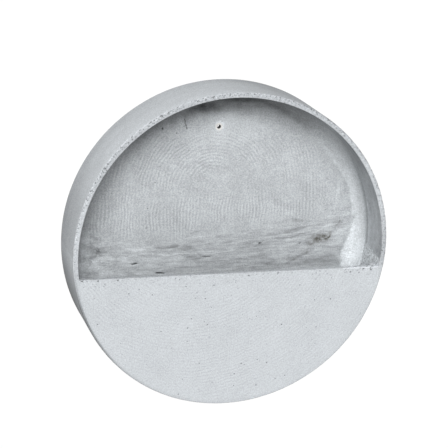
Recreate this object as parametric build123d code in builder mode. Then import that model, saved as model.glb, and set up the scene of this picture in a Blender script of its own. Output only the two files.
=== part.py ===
from build123d import *
import os
from math import asin, cos, degrees, pi, radians, sin, sqrt

# A round planter of glass-fibre concrete that hangs on a wall. A thin drum wall stands round a back plate,
# and a half-moon panel closes the lower half of the open front, which leaves a pocket for soil behind it.
# The back face lies on the wall in the plane y = 0, the open front faces -Y, and +Z is up.
# The origin is the centre of the back face. All lengths are in millimetres, and all angles in degrees.

# Driving dimensions
outer_dia = 400.0
depth = 80.0
rim_thickness = 6.5
plate_thickness = 8.0
panel_thickness = 7.5
panel_top = -27.0
cove_radius = 20.0
hole_dia = 4.0
hole_x = -5.0
hole_z = 141.0

# Edges of the castings
front_arris = 1.0
inner_arris = 0.7
back_arris = 2.0
panel_arris = 0.8

# Mortar and filler
feather = 0.6
bead_radius = 8.0
bead_rise = 12.0
coat_thickness = 1.2
collar_dia = 10.0
collar_depth = 1.6
collar_proud = 0.4

# Glass-fibre mesh
scrim_pitch = 20.0
strand_width = 2.0
strand_thickness = 0.8
scrim_cover = 7.0

outer_radius = outer_dia / 2
inner_radius = outer_radius - rim_thickness
cove_reach = cove_radius + feather
plate_open_radius = inner_radius - cove_reach
panel_back = depth - panel_thickness
window = scrim_pitch - strand_width


def save(piece, name):
    piece.part.label = name
    export_step(piece.part, f"parts/{name}.step")


def mortar_profile(plane, radius, side):
    """The section of a mortar fillet in the corner at the plane's origin, against its lines x = 0 and y = 0.

    It lies on the -X side, and on the given side in Y. Both ends of its hollow face are as thick as the feather.
    """
    reach = radius + feather
    with BuildSketch(plane) as profile:
        with BuildLine():
            foot = Line((0, 0), (-reach, 0))
            foot_end = Line(foot @ 1, (-reach, side * feather))
            hollow = RadiusArc(foot_end @ 1, (-feather, side * reach), -side * radius)
            wall_end = Line(hollow @ 1, (0, side * reach))
            Line(wall_end @ 1, (0, 0))
        make_face()
    return profile.sketch


def scrim_windows(count):
    """Cut the mesh's openings from the sketch in hand: a square grid centred on the drum's axis."""
    with GridLocations(scrim_pitch, scrim_pitch, count, count):
        Rectangle(window, window, mode=Mode.SUBTRACT)


os.makedirs("parts", exist_ok=True)

# Back plate: a flat disc inside the drum wall, with the hanging hole and the chipped seat round its mouth
hole_mouth = Plane(origin=(hole_x, -plate_thickness, hole_z), x_dir=(1, 0, 0), z_dir=(0, -1, 0))

with BuildPart() as back_plate:
    with BuildSketch(Plane.XZ):
        Circle(inner_radius)
    extrude(amount=plate_thickness)
    with Locations(hole_mouth):
        CounterBoreHole(hole_dia / 2, collar_dia / 2, collar_depth)
save(back_plate, "back_plate")

# Drum wall: its back edge is rounded by the mould, and its front edge is rubbed down by hand
with BuildPart() as rim_wall:
    with BuildSketch(Plane.XZ):
        Circle(outer_radius)
        Circle(inner_radius, mode=Mode.SUBTRACT)
    extrude(amount=depth)
    front_edges = rim_wall.faces().sort_by(Axis.Y)[0].edges().sort_by(SortBy.LENGTH)
    fillet(front_edges[0], inner_arris)
    fillet(rim_wall.faces().sort_by(Axis.Y)[0].edges().sort_by(SortBy.LENGTH)[-1], front_arris)
    fillet(rim_wall.faces().sort_by(Axis.Y)[-1].edges().sort_by(SortBy.LENGTH)[-1], back_arris)
save(rim_wall, "rim_wall")

# Front panel: a half-moon slab set inside the drum wall, flush with its front edge
with BuildPart() as front_panel:
    with BuildSketch(Plane.XZ.offset(panel_back)):
        Circle(inner_radius)
        with Locations((0, panel_top)):
            Rectangle(outer_dia, outer_dia, align=(Align.CENTER, Align.MIN), mode=Mode.SUBTRACT)
    extrude(amount=panel_thickness)
    top_face = front_panel.faces().sort_by(Axis.Z)[-1]
    fillet(top_face.edges().filter_by(Axis.X), panel_arris)
save(front_panel, "front_panel")

# Back cove: the hollow mortar fillet all round the corner between plate and drum wall
cove_profile = mortar_profile(Plane(origin=(inner_radius, -plate_thickness, 0)), cove_radius, -1)

with BuildPart() as back_cove:
    revolve(cove_profile, axis=Axis.Y)
save(back_cove, "back_cove")

# Panel fillet: the mortar bead behind the panel. It runs along the drum wall from end to end of the panel,
# and at the right it is smeared up the wall above the panel's top edge, down to nothing.
panel_end_angle = degrees(asin(panel_top / inner_radius))
bead_start_angle = degrees(asin((panel_top + bead_rise) / inner_radius))
bead_sweep = 180 + panel_end_angle + bead_start_angle
bead_out = Vector(cos(radians(bead_start_angle)), 0, sin(radians(bead_start_angle)))
bead_start = Plane(
    origin=bead_out * inner_radius - Vector(0, panel_back, 0),
    x_dir=bead_out,
    z_dir=bead_out.cross(Vector(0, 1, 0)),
)
bead_profile = mortar_profile(bead_start, bead_radius, 1)

# The smear's slope runs from the bead's foot, level with the panel's top edge, up to the drum wall
bead_reach = bead_radius + feather
slope_top = Vector(sqrt(inner_radius**2 - (panel_top + bead_rise) ** 2), 0, panel_top + bead_rise)
slope_foot = Vector(sqrt((inner_radius - bead_reach) ** 2 - panel_top**2), 0, panel_top)
slope_up = (slope_top - slope_foot).normalized()
smear_slope = Plane(
    origin=(slope_top + slope_foot) * 0.5 - Vector(0, panel_back, 0),
    x_dir=slope_up,
    z_dir=slope_up.cross(Vector(0, 1, 0)),
)
trim_size = 4 * bead_reach

with BuildPart() as panel_fillet:
    revolve(bead_profile, axis=Axis.Y, revolution_arc=bead_sweep)
    with Locations(smear_slope):
        Box(trim_size, trim_size, trim_size, align=(Align.CENTER, Align.CENTER, Align.MIN), mode=Mode.SUBTRACT)
save(panel_fillet, "panel_fillet")

# Pocket render: the trowelled coat on the lower part of the plate, with a wavy upper edge
coat_line = [
    (-outer_radius, 2.0),
    (-150.0, -1.5),
    (-88.0, -9.0),
    (-20.0, 1.5),
    (58.0, 7.0),
    (120.0, 15.0),
    (160.0, 30.0),
    (outer_radius, 78.0),
]

with BuildPart() as pocket_render:
    with BuildSketch(Plane.XZ.offset(plate_thickness)):
        with BuildLine():
            upper = Spline(coat_line)
            Polyline(upper @ 1, (outer_radius, -outer_radius), (-outer_radius, -outer_radius), upper @ 0)
        make_face()
        Circle(plate_open_radius, mode=Mode.INTERSECT)
    extrude(amount=coat_thickness)
save(pocket_render, "pocket_render")

# Hole collar: the ring of pale filler in the chipped seat, drilled through at the hole's own size
with BuildPart() as hole_collar:
    with BuildSketch(Plane.XZ.offset(plate_thickness - collar_depth)):
        with Locations((hole_x, hole_z)):
            Circle(collar_dia / 2)
            Circle(hole_dia / 2, mode=Mode.SUBTRACT)
    extrude(amount=collar_depth + collar_proud)
save(hole_collar, "hole_collar")

# Scrims: glass-fibre mesh in the middle of the plate, the panel and the drum wall
flat_windows = round(outer_dia / scrim_pitch)
scrim_radius = inner_radius - scrim_cover

with BuildPart() as back_scrim:
    with BuildSketch(Plane.XZ.offset((plate_thickness - strand_thickness) / 2)):
        Circle(scrim_radius)
        scrim_windows(flat_windows)
        with Locations((hole_x, hole_z)):
            Circle(collar_dia / 2, mode=Mode.SUBTRACT)
    extrude(amount=strand_thickness)
save(back_scrim, "back_scrim")

with BuildPart() as front_scrim:
    with BuildSketch(Plane.XZ.offset(panel_back + (panel_thickness - strand_thickness) / 2)):
        Circle(scrim_radius)
        scrim_windows(flat_windows)
        with Locations((0, panel_top - scrim_cover)):
            Rectangle(outer_dia, outer_dia, align=(Align.CENTER, Align.MIN), mode=Mode.SUBTRACT)
    extrude(amount=strand_thickness)
save(front_scrim, "front_scrim")

wall_middle_radius = (outer_radius + inner_radius) / 2
rim_rows = int((depth - 2 * scrim_cover) / scrim_pitch)
rim_scrim_width = rim_rows * scrim_pitch + strand_width
rim_columns = round(2 * pi * wall_middle_radius / scrim_pitch)

with BuildPart() as rim_scrim:
    with BuildSketch(Plane.XZ.offset((depth - rim_scrim_width) / 2)):
        Circle(wall_middle_radius + strand_thickness / 2)
        Circle(wall_middle_radius - strand_thickness / 2, mode=Mode.SUBTRACT)
    extrude(amount=rim_scrim_width)
    for row in range(rim_rows):
        row_centre = depth / 2 + (row - (rim_rows - 1) / 2) * scrim_pitch
        with Locations(Plane.XZ.offset(row_centre)):
            with PolarLocations(wall_middle_radius, rim_columns):
                Box(rim_thickness, window, window, mode=Mode.SUBTRACT)
save(rim_scrim, "rim_scrim")
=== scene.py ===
import bpy
import bmesh
import numpy as np
from itertools import product
from math import radians
from mathutils import Matrix, Vector


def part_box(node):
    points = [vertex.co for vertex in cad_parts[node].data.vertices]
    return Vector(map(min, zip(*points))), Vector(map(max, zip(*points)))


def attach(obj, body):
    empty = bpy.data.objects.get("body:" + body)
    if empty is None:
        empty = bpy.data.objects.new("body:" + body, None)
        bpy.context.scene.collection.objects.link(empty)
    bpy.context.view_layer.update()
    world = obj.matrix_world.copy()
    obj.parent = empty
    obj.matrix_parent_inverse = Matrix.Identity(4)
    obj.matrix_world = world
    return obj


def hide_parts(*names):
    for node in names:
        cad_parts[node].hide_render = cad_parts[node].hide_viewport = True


# Round wall planter in hand-laid concrete. Each visible casting and mortar line is a fine mesh with its own
# relief: brushed arcs on the plate, trowel marks and stains low in the niche, pits and crumbled edges on the
# drum wall. The frame is in metres, and the meshes are worked out in millimetres. The open front faces -Y,
# +Z is up, and the back face lies in the plane y = 0.

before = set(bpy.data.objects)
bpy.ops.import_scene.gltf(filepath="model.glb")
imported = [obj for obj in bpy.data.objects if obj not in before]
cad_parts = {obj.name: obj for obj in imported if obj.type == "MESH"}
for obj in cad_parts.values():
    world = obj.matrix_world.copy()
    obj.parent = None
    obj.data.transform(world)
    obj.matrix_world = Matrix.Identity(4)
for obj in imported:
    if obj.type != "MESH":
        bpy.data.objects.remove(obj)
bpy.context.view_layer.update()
MM = 0.001


# ---------------- sizes in millimetres, read from the frame

def node_box(node):
    low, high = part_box(node)
    return low / MM, high / MM


rim_low, rim_high = node_box("rim_wall")
plate_low, plate_high = node_box("back_plate")
panel_low, panel_high = node_box("front_panel")
cove_low, cove_high = node_box("back_cove")
bead_low, bead_high = node_box("panel_fillet")
coat_low, coat_high = node_box("pocket_render")
collar_low, collar_high = node_box("hole_collar")

FRONT = rim_low.y
OUTER_R = rim_high.x
INNER_R = plate_high.x
PLATE_Y = plate_low.y
PANEL_BACK = panel_high.y
PANEL_TOP = panel_high.z
COVE_R = PLATE_Y - cove_low.y
BEAD_R = bead_high.y - PANEL_BACK
COAT_R = coat_high.x
HOLE_X = (collar_low.x + collar_high.x) / 2
HOLE_Z = (collar_low.z + collar_high.z) / 2
COLLAR_R = (collar_high.x - collar_low.x) / 2
HOLE_R = 2.0  # no box gives the bore's radius


# ---------------- noise

def hashed(ix, iy, iz, seed):
    """A fixed pseudo-random number from 0 to 1 for each point of a lattice."""
    n = ix * 374761393 + iy * 668265263 + iz * 1274126177 + seed * 974634541
    n = (n ^ (n >> 13)) & 0xFFFFFFFF
    n = (n * 1103515245 + 12345) & 0xFFFFFFFF
    n = ((n ^ (n >> 15)) * 2246822519) & 0xFFFFFFFF
    return ((n ^ (n >> 13)) & 0xFFFF) / 65535.0


def noise(x, y, z, size, seed):
    """Smooth noise from -1 to 1, with lumps about one size wide. Size is a number, or one for each axis."""
    sizes = size if isinstance(size, tuple) else (size, size, size)
    place = [np.asarray(a) / s for a, s in zip(np.broadcast_arrays(x, y, z), sizes)]
    cell = [np.floor(a).astype(np.int64) for a in place]
    share = [a - c for a, c in zip(place, cell)]
    share = [a * a * (3 - 2 * a) for a in share]
    total = 0.0
    for i, j, k in product((0, 1), repeat=3):
        weights = [t if corner else 1 - t for t, corner in zip(share, (i, j, k))]
        corner_value = hashed(cell[0] + i, cell[1] + j, cell[2] + k, seed)
        total = total + weights[0] * weights[1] * weights[2] * corner_value
    return 2 * total - 1


def rough_noise(x, y, z, size, seed, octaves=3):
    """Noise with finer and weaker noise on top of it."""
    total, weight, norm = 0.0, 1.0, 0.0
    for octave in range(octaves):
        scale = 0.5 ** octave
        part = tuple(s * scale for s in size) if isinstance(size, tuple) else size * scale
        total = total + weight * noise(x, y, z, part, seed + 17 * octave)
        norm += weight
        weight *= 0.6
    return total / norm


def smooth_step(low, high, value):
    t = np.clip((value - low) / (high - low), 0, 1)
    return t * t * (3 - 2 * t)


def above(level, value):
    """How far the value lies above the level, and 0 below it."""
    return np.clip(value - level, 0, None)


# ---------------- marks left by hand, tools and damp

def stroke(x, z, start, end, width):
    """1 along the line from start to end, fading to 0 at half the width to each side and past its ends."""
    (ax, az), (bx, bz) = start, end
    length2 = (bx - ax) ** 2 + (bz - az) ** 2
    t = np.clip(((x - ax) * (bx - ax) + (z - az) * (bz - az)) / length2, 0, 1)
    distance = np.hypot(x - ax - t * (bx - ax), z - az - t * (bz - az))
    taper = 0.35 + 0.65 * np.sqrt(np.clip(4 * t * (1 - t), 0, 1))
    return smooth_step(1, 0, 2 * distance / (width * taper))


def blot(x, z, centre, reach):
    """1 at the centre of an oval with the given reach in x and z, fading to 0 at its edge."""
    return smooth_step(1, 0, np.hypot((x - centre[0]) / reach[0], (z - centre[1]) / reach[1]))


def pit_depth(x, z, pits):
    """The depth that round pits take out of a surface. Each pit is (x, z, radius, depth)."""
    depth = np.zeros(np.broadcast(x, z).shape)
    for px, pz, radius, deep in pits:
        d2 = ((x - px) ** 2 + (z - pz) ** 2) / radius ** 2
        depth = np.maximum(depth, deep * np.clip(1 - d2, 0, 1))
    return depth


SWIRLS = [  # centre x, centre z and pitch of each set of brushed arcs on the plate
    (-10, 62, 4.3),
    (230, 24, 4.2),
    (-220, 32, 4.2),
]

BRUSHED = [  # for each set of arcs, the patches where it shows: centre, reach in x and z, and strength
    [((-38, 92), (62, 50), 1.0), ((-84, 96), (60, 54), 0.9), ((-6, 118), (84, 36), 0.4),
     ((56, 96), (76, 50), 0.5), ((-126, 80), (40, 46), 0.6), ((104, 90), (60, 60), 0.4)],
    [((-72, 24), (84, 44), 1.0), ((-128, 34), (60, 56), 0.9), ((0, 36), (60, 28), 0.8),
     ((-156, 20), (36, 60), 0.6)],
    [((62, 36), (66, 34), 1.0), ((112, 44), (60, 46), 0.6)],
]

SANDED = [(-50, 60, 4.1)]  # the same for the arcs left on the panel by rubbing it down

TROWEL_MARKS = [  # start, end, width, and how much lighter or darker
    ((-84, -13), (-52, -11), 13, -0.13),
    ((-66, -12), (-33, -15), 9, -0.12),
    ((-104, -21), (-62, -22), 5, 0.10),
    ((-86, -22), (-2, -25), 2.6, 0.14),
    ((-4, -25), (34, -18), 3.2, 0.12),
    ((-63, -27), (-44, -28), 5, 0.13),
    ((-112, -27), (-70, -29), 5, 0.08),
    ((-60, -25), (-38, -26), 1.6, -0.14),
    ((-128, -10), (-92, -16), 4, 0.10),
    ((-150, -4), (-104, -8), 6, 0.07),
    ((-145, -22), (-118, -26), 9, 0.09),
    ((-37, 3), (-24, 6), 4, -0.13),
    ((-44, -2), (-16, 0), 2.6, 0.10),
    ((-30, -36), (40, -34), 14, -0.07),
    ((-20, -31), (30, -27), 2.4, 0.09),
    ((4, -12), (60, -6), 3, 0.07),
    ((10, -3), (72, 3), 4, -0.06),
    ((20, -20), (64, -14), 3.4, -0.08),
    ((66, -2), (118, 6), 12, -0.08),
    ((76, -8), (101, -7), 3.6, -0.14),
    ((98, -7), (125, 1), 3.4, -0.14),
    ((96, 16), (116, 15), 6, -0.13),
    ((60, 12), (96, 16), 5, -0.06),
    ((124, -2), (160, 10), 3.4, 0.13),
    ((112, -10), (132, -4), 5, 0.06),
    ((62, -22), (104, -17), 12, 0.05),
    ((64, -43), (98, -43), 7, -0.14),
    ((92, -42), (122, -28), 6, -0.12),
    ((110, -34), (142, -22), 4, 0.07),
    ((118, -42), (160, -34), 22, -0.09),
    ((148, -8), (172, 2), 8, 0.10),
    ((146, -20), (168, -16), 5, 0.10),
    ((158, 8), (168, 14), 6, -0.12),
    ((166, 48), (167, 78), 6, -0.10),
    ((156, 30), (158, 66), 5, 0.08),
    ((72, 44), (98, 30), 16, -0.06),
]

BROWN_STAINS = [  # centre, reach in x and z, and strength
    ((138, -9), (20, 10), 0.75), ((145, -7), (9, 5), 0.95), ((134, -12), (9, 5), 0.70),
    ((152, -3), (8, 4), 0.55), ((127, -17), (10, 6), 0.45), ((120, -26), (14, 7), 0.40),
    ((104, -36), (16, 6), 0.22), ((-62, -12), (26, 5), 0.10), ((159, 9), (12, 8), 0.30),
    ((106, 15), (12, 4), 0.12), ((133, 130), (9, 5), 0.45), ((112, 148), (14, 5), 0.25),
]

GASHES = [  # start, end, width and depth of the cracks and gouges
    ((-49.5, 152), (-47.5, 144), 1.9, 0.8),
    ((-48, 145), (-45, 138), 2.2, 1.0),
    ((-46, 144), (-52, 142), 1.8, 0.6),
    ((-46, 139), (-50, 136), 1.5, 0.4),
    ((-45, 138), (-43.5, 129), 1.6, 0.35),
    ((-111, -34), (-103, -33), 3.6, 1.2),
    ((-79, -46.5), (-68, -48), 3.6, 1.6),
    ((-20, -27.5), (-9, -28), 2.4, 1.0),
    ((-169, -38), (-160, -30), 1.8, 0.5),
    ((-172, -27), (-158, -29), 1.6, 0.5),
    ((-166, -20), (-171, -25), 1.4, 0.4),
]

NICHE_PITS = [  # x, z, radius and depth
    (-77, 140, 1.6, 0.9), (-93.5, 13, 1.5, 0.6), (56.5, -13, 1.7, 1.3), (110, -15.5, 1.6, 0.9),
    (107, -17, 1.0, 0.5), (163, 12.5, 1.3, 0.7), (166, 10, 1.0, 0.6), (181, 17, 1.3, 0.7),
    (181, 39, 1.1, 0.6), (-28, -27.5, 1.0, 0.5), (-97, 60, 0.9, 0.4), (-1.2, 147.6, 1.3, 0.8),
    (-6.2, 147.6, 1.0, 0.6),
]

PALE_DOTS = [  # centre and radius of the spots of white lime
    ((-95, 15.5), 1.6), ((-25, -27.6), 1.8), ((174, 22), 3.4), ((157, 54), 3.0),
]

PLATE_TOP_PAINTED_SHADE = [  # angle in degrees, and how dark the painted shade on the plate is under the top of the drum wall
    (42, 0.00), (57, 0.10), (71, 0.32), (85, 0.66), (99, 0.78), (113, 0.50), (127, 0.44), (141, 0.20),
    (155, 0.04), (170, 0.00),
]

COVE_TOP_PAINTED_SHADE = [  # angle in degrees, and how dark the painted shade in the cove is under the top of the drum wall
    (44, 0.00), (52, 0.28), (58, 0.42), (66, 0.48), (78, 0.48), (85, 0.40), (90, 0.22), (96, 0.00),
]

RIGHT_COVE_PAINTED_LIGHT = [  # height z, the radius where the painted light in the right cove begins, and its strength
    (-70, 177, 0.60), (-45, 175.5, 0.60), (-30, 172, 0.60), (-17, 173, 0.56), (2, 179, 0.49),
    (16, 181.5, 0.42), (64, 181, 0.35), (90, 175, 0.22), (130, 172, 0.00),
]

COAT_LINE = [  # x and z of the coat's upper edge, from left to right
    (-174, 2), (-150, -1.5), (-88, -7), (-20, 1.5), (58, 7), (120, 15), (160, 30), (174, 40),
]


def between(table, place):
    """The value of a table at a place: straight lines between its rows, and level past its ends."""
    places, values = np.array(table).T
    return np.interp(place, places, values)


def wrapped(angle):
    """The same angle in radians, brought within half a turn of 0."""
    return (angle + np.pi) % (2 * np.pi) - np.pi


def at_angle(table, angle):
    """The value at an angle in radians of a table whose places are in degrees."""
    return between(table, np.degrees(wrapped(angle)))


def right_cove_painted_light(x, z):
    """How much paler the painted light makes the cove at the right."""
    heights, radii, strengths = np.array(RIGHT_COVE_PAINTED_LIGHT).T
    begins = np.interp(z, heights, radii)
    strength = np.interp(z, heights, strengths) * (1 + 0.30 * rough_noise(x, 0, z, (4, 1, 11), 233))
    out = np.hypot(x, z) + 3.0 * rough_noise(x, 0, z, (7, 1, 9), 231)
    pale_plate = 0.05 * blot(x, z, (164, 50), (24, 56))
    return pale_plate + strength * smooth_step(-2.0, 2.0, out - begins) * (x > 0)


def cove_top_painted_shade(x, z):
    """How much darker the painted shade makes the cove under the top of the wall."""
    out = np.hypot(x, z) + 2.5 * rough_noise(x, 0, z, (14, 1, 5), 104)
    return at_angle(COVE_TOP_PAINTED_SHADE, np.arctan2(z, x)) * smooth_step(168, 179, out)


def brushed(x, z, index):
    """Where one set of brushed arcs shows, from 0 to 1."""
    total = np.zeros(np.broadcast(x, z).shape)
    for centre, reach, strength in BRUSHED[index]:
        total = np.maximum(total, strength * blot(x, z, centre, reach))
    worn = 0.78 + 1.7 * rough_noise(x, index * 50, z, 17, 11 + index)
    # The brush left nothing near the middle of its turns
    centre_x, centre_z, pitch = SWIRLS[index]
    middle = smooth_step(4 * pitch, 8 * pitch, np.hypot(x - centre_x, z - centre_z))
    return np.clip(1.6 * total * worn, 0, 1) * middle * (1 - coat_cover(x, z))


def coat_cover(x, z):
    """How far the trowelled coat covers the plate: 0 on bare plate, 1 under the full coat."""
    edge = between(COAT_LINE, x) + 3.5 * rough_noise(x, 0, z, (26, 1, 7), 91)
    return smooth_step(6, -12, z - edge)


def pale_areas(x, z, warp_x, warp_z, cover):
    """How much paler the niche is at the top, at the lower left, and in the ring round the hole."""
    pale = 0.21 * blot(x, z, (20, 144), (110, 42)) + 0.10 * blot(warp_x, warp_z, (-4, 132), (18, 24))
    pale = pale + 0.08 * smooth_step(-40, -120, x) * cover + 0.42 * blot(x, z, (-176, -28), (24, 52))
    pale = pale + 0.13 * blot(warp_x, warp_z, (-128, -46), (46, 14))
    ring = np.hypot(x - HOLE_X - 0.8, 0.88 * (z - HOLE_Z - 1.0)) + 0.7 * rough_noise(x, 0, z, 3, 102)
    return pale + 0.38 * smooth_step(6.8, 4.8, ring)


def damp_patches(warp_x, warp_z, z):
    """How much darker the damp makes the lower left, in patches and veins."""
    patches = rough_noise(warp_x, 11, warp_z, (12, 1, 9), 97, octaves=4)
    veins = smooth_step(0.16, 0.0, np.abs(rough_noise(warp_x + 0.5 * z, 13, warp_z, (17, 1, 12), 99)))
    return blot(warp_x, warp_z, (-168, -20), (62, 60)) * (0.32 * veins - 0.55 * patches - 0.03)


def plate_top_painted_shade(x, z):
    """How much darker the painted shade makes the plate under the top of the wall."""
    feathered = 1 + 0.22 * rough_noise(x, 0, z, (26, 1, 5), 100)
    out = np.hypot(x, z) + 3 * rough_noise(x, 0, z, 12, 98)
    return at_angle(PLATE_TOP_PAINTED_SHADE, np.arctan2(z, x)) * feathered * smooth_step(150, 170, out)


def niche_tone(x, z):
    """How much lighter or darker the niche is at each place, as a fraction."""
    warp_x = x + 2.4 * noise(x, 3, z, 9, 201) + 0.8 * noise(x, 3, z, 3, 203)
    warp_z = z + 1.7 * noise(x, 7, z, (16, 1, 6), 205) + 0.6 * noise(x, 7, z, 3, 207)
    cover = coat_cover(x, z)
    tone = 0.105 * rough_noise(x, 0, z, 30, 8) + 0.090 * rough_noise(warp_x, 0, warp_z, 7, 9)
    dragged = rough_noise(x + 0.12 * z, 0, z - 0.10 * x, (46, 1, 4.0), 93)
    fine = rough_noise(x, 0, z - 0.06 * x, (17, 1, 2.0), 95)
    blotches = rough_noise(warp_x, 0, warp_z, (15, 1, 8), 96)
    tone = tone + cover * (0.15 * dragged + 0.10 * fine + 0.10 * blotches - 0.045)
    for start, end, width, change in TROWEL_MARKS:
        tone = tone + 1.9 * change * stroke(warp_x, warp_z, start, end, width)
    for centre, radius in PALE_DOTS:
        tone = tone + 0.22 * blot(x, z, centre, (radius, radius))
    tone = tone + pale_areas(x, z, warp_x, warp_z, cover) - damp_patches(warp_x, warp_z, z)
    # The last two terms are painted shade: under the top of the wall, and in the cracks, gouges and pits by
    # their depth
    return tone - plate_top_painted_shade(x, z) - 0.75 * smooth_step(0.15, 0.8, niche_cuts(x, z))


def niche_cuts(x, z):
    """The depth of the cracks, gouges and pits in the niche."""
    warp_x = x + 0.5 * noise(x, 5, z, 2.6, 211)
    warp_z = z + 0.5 * noise(x, 9, z, 2.6, 213)
    depth = pit_depth(x, z, NICHE_PITS)
    for start, end, width, deep in GASHES:
        depth = np.maximum(depth, deep * stroke(warp_x, warp_z, start, end, width))
    return depth


def niche_stain(x, z):
    """How far brown damp stains soak the concrete, from 0 to 1."""
    warp_x = x + 3.0 * noise(x, 3, z, 10, 221)
    warp_z = z + 2.0 * noise(x, 7, z, 8, 223)
    total = np.zeros(np.broadcast(x, z).shape)
    for centre, reach, strength in BROWN_STAINS:
        total = total + strength * blot(warp_x, warp_z, centre, reach)
    return np.clip(total * (1 + 0.7 * rough_noise(x, 0, z, 4, 225)), 0, 0.85)


# ---------------- meshes

def grid_faces(rows, columns, wrap_rows, wrap_columns):
    """Quads over a grid of points numbered row by row, closed round either way."""
    r = np.arange(rows if wrap_rows else rows - 1)
    c = np.arange(columns if wrap_columns else columns - 1)
    r, c = np.meshgrid(r, c, indexing="ij")
    r1, c1 = (r + 1) % rows, (c + 1) % columns
    corners = [r * columns + c, r * columns + c1, r1 * columns + c1, r1 * columns + c]
    return np.stack(corners, -1).reshape(-1, 4)


def capped_faces(sections, points):
    """Faces of a closed body skinned over a row of closed sections, with a cap at each end."""
    faces = grid_faces(sections, points, False, True).tolist()
    faces.append(list(range(points))[::-1])
    faces.append([(sections - 1) * points + i for i in range(points)])
    return faces


def new_object(name, data):
    thing = bpy.data.objects.new(name, data)
    bpy.context.scene.collection.objects.link(thing)
    return thing


def make_piece(name, points, faces, **fields):
    """A smooth-shaded mesh object from points in millimetres. Each field holds a number for each point."""
    mesh = bpy.data.meshes.new(name)
    mesh.from_pydata((points.reshape(-1, 3) * MM).tolist(), [], faces)
    for field, values in fields.items():
        layer = mesh.attributes.new(field, "FLOAT", "POINT")
        layer.data.foreach_set("value", np.ascontiguousarray(values, np.float32).ravel())
    mesh.validate()
    work = bmesh.new()
    work.from_mesh(mesh)
    bmesh.ops.recalc_face_normals(work, faces=work.faces)
    work.to_mesh(mesh)
    work.free()
    mesh.polygons.foreach_set("use_smooth", [True] * len(mesh.polygons))
    mesh.set_sharp_from_angle(angle=radians(50))
    return new_object(name, mesh)


def settle(piece, node, material):
    """Put a finished piece in place of its CAD node, on the one body."""
    piece.data.materials.clear()
    piece.data.materials.append(material)
    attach(piece, "root")
    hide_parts(node)


def arc_rows(centre, radius, start, end, count):
    """Profile points (radius, y) on an arc, without its last point. Angles in degrees from +R towards +Y."""
    angles = np.radians(np.linspace(start, end, count + 1)[:-1])
    return [(centre[0] + radius * np.cos(a), centre[1] + radius * np.sin(a)) for a in angles]


def line_rows(start, end, count):
    """Profile points on a line, without its last point."""
    t = np.linspace(0, 1, count + 1)[:-1, None]
    return [tuple(p) for p in np.array(start) * (1 - t) + np.array(end) * t]


def around(radius, y, angle):
    """Points at the given radius, height and angle about the Y axis."""
    return np.stack([radius * np.cos(angle), y, radius * np.sin(angle)], -1)


# ---------------- materials

class Surface:
    """A new material's nodes: the factor on its colour, its relief, and short ways to add to them.

    Sizes are in millimetres.
    """

    def __init__(self, name, specular):
        self.material = bpy.data.materials.new(name)
        self.material.use_nodes = True
        self.shader = self.material.node_tree.nodes["Principled BSDF"]
        self.shader.inputs["Specular IOR Level"].default_value = specular
        self.place = self.node("ShaderNodeTexCoord", {}).outputs["Object"]
        self.factor = 1.0
        self.relief = 0.0

    def plug(self, value, socket):
        """Set a socket to a value, or link another node's output to it."""
        if isinstance(value, bpy.types.NodeSocket):
            self.material.node_tree.links.new(value, socket)
        else:
            socket.default_value = value

    def node(self, kind, inputs, **settings):
        """Add a node. Its inputs are values or other nodes' outputs."""
        node = self.material.node_tree.nodes.new(kind)
        for name, value in settings.items():
            setattr(node, name, value)
        for name, value in inputs.items():
            self.plug(value, node.inputs[name])
        return node

    def math(self, kind, a, b, clamp=False):
        return self.node("ShaderNodeMath", {0: a, 1: b}, operation=kind, use_clamp=clamp).outputs[0]

    def cloud(self, size, detail, roughness, where=None, distortion=0.0):
        """Noise around 0.5."""
        inputs = {
            "Vector": self.place if where is None else where,
            "Scale": 1 / (size * MM),
            "Detail": detail,
            "Roughness": roughness,
            "Distortion": distortion,
        }
        return self.node("ShaderNodeTexNoise", inputs).outputs["Fac"]

    def specks(self, size, level):
        """Hard-edged specks where noise rises above the level, from 0 to 1."""
        peaks = self.math("SUBTRACT", self.cloud(size, 2.0, 0.5), level)
        return self.math("MULTIPLY", peaks, 11.0, clamp=True)

    def field(self, name):
        """The mesh's field of this name."""
        return self.node("ShaderNodeAttribute", {}, attribute_name=name).outputs["Fac"]

    def drawn_out(self, slant, scale):
        """The place on the piece, scaled down along a line that slants by so many degrees from X."""
        inputs = {"Vector": self.place, "Rotation": (0, radians(slant), 0), "Scale": (scale, 1.0, 1.0)}
        return self.node("ShaderNodeMapping", inputs).outputs[0]

    def swing(self, noise, amount):
        """Turn noise around 0.5 into a factor that swings about 1 by the amount."""
        return self.math("ADD", self.math("MULTIPLY", noise, 4 * amount), 1 - 2 * amount)

    def tint(self, mask, amount):
        """Lighten the colour by the amount where the mask is 1, or darken it if the amount is below 0."""
        change = self.math("ADD", self.math("MULTIPLY", mask, amount), 1.0)
        self.factor = self.math("MULTIPLY", self.factor, change)

    def lift(self, mask, height):
        """Raise the relief by the height where the mask is 1, or sink it if the height is below 0."""
        self.relief = self.math("ADD", self.relief, self.math("MULTIPLY", mask, height))

    def finish(self, colour, roughness, bump_strength, bump_distance):
        """Plug the colour, the roughness and the relief into the shader, and return the material."""
        inputs = {"Strength": bump_strength, "Distance": bump_distance * MM, "Height": self.relief}
        bump = self.node("ShaderNodeBump", inputs)
        self.plug(colour, self.shader.inputs["Base Color"])
        self.plug(roughness, self.shader.inputs["Roughness"])
        self.plug(bump.outputs["Normal"], self.shader.inputs["Normal"])
        return self.material


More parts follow.
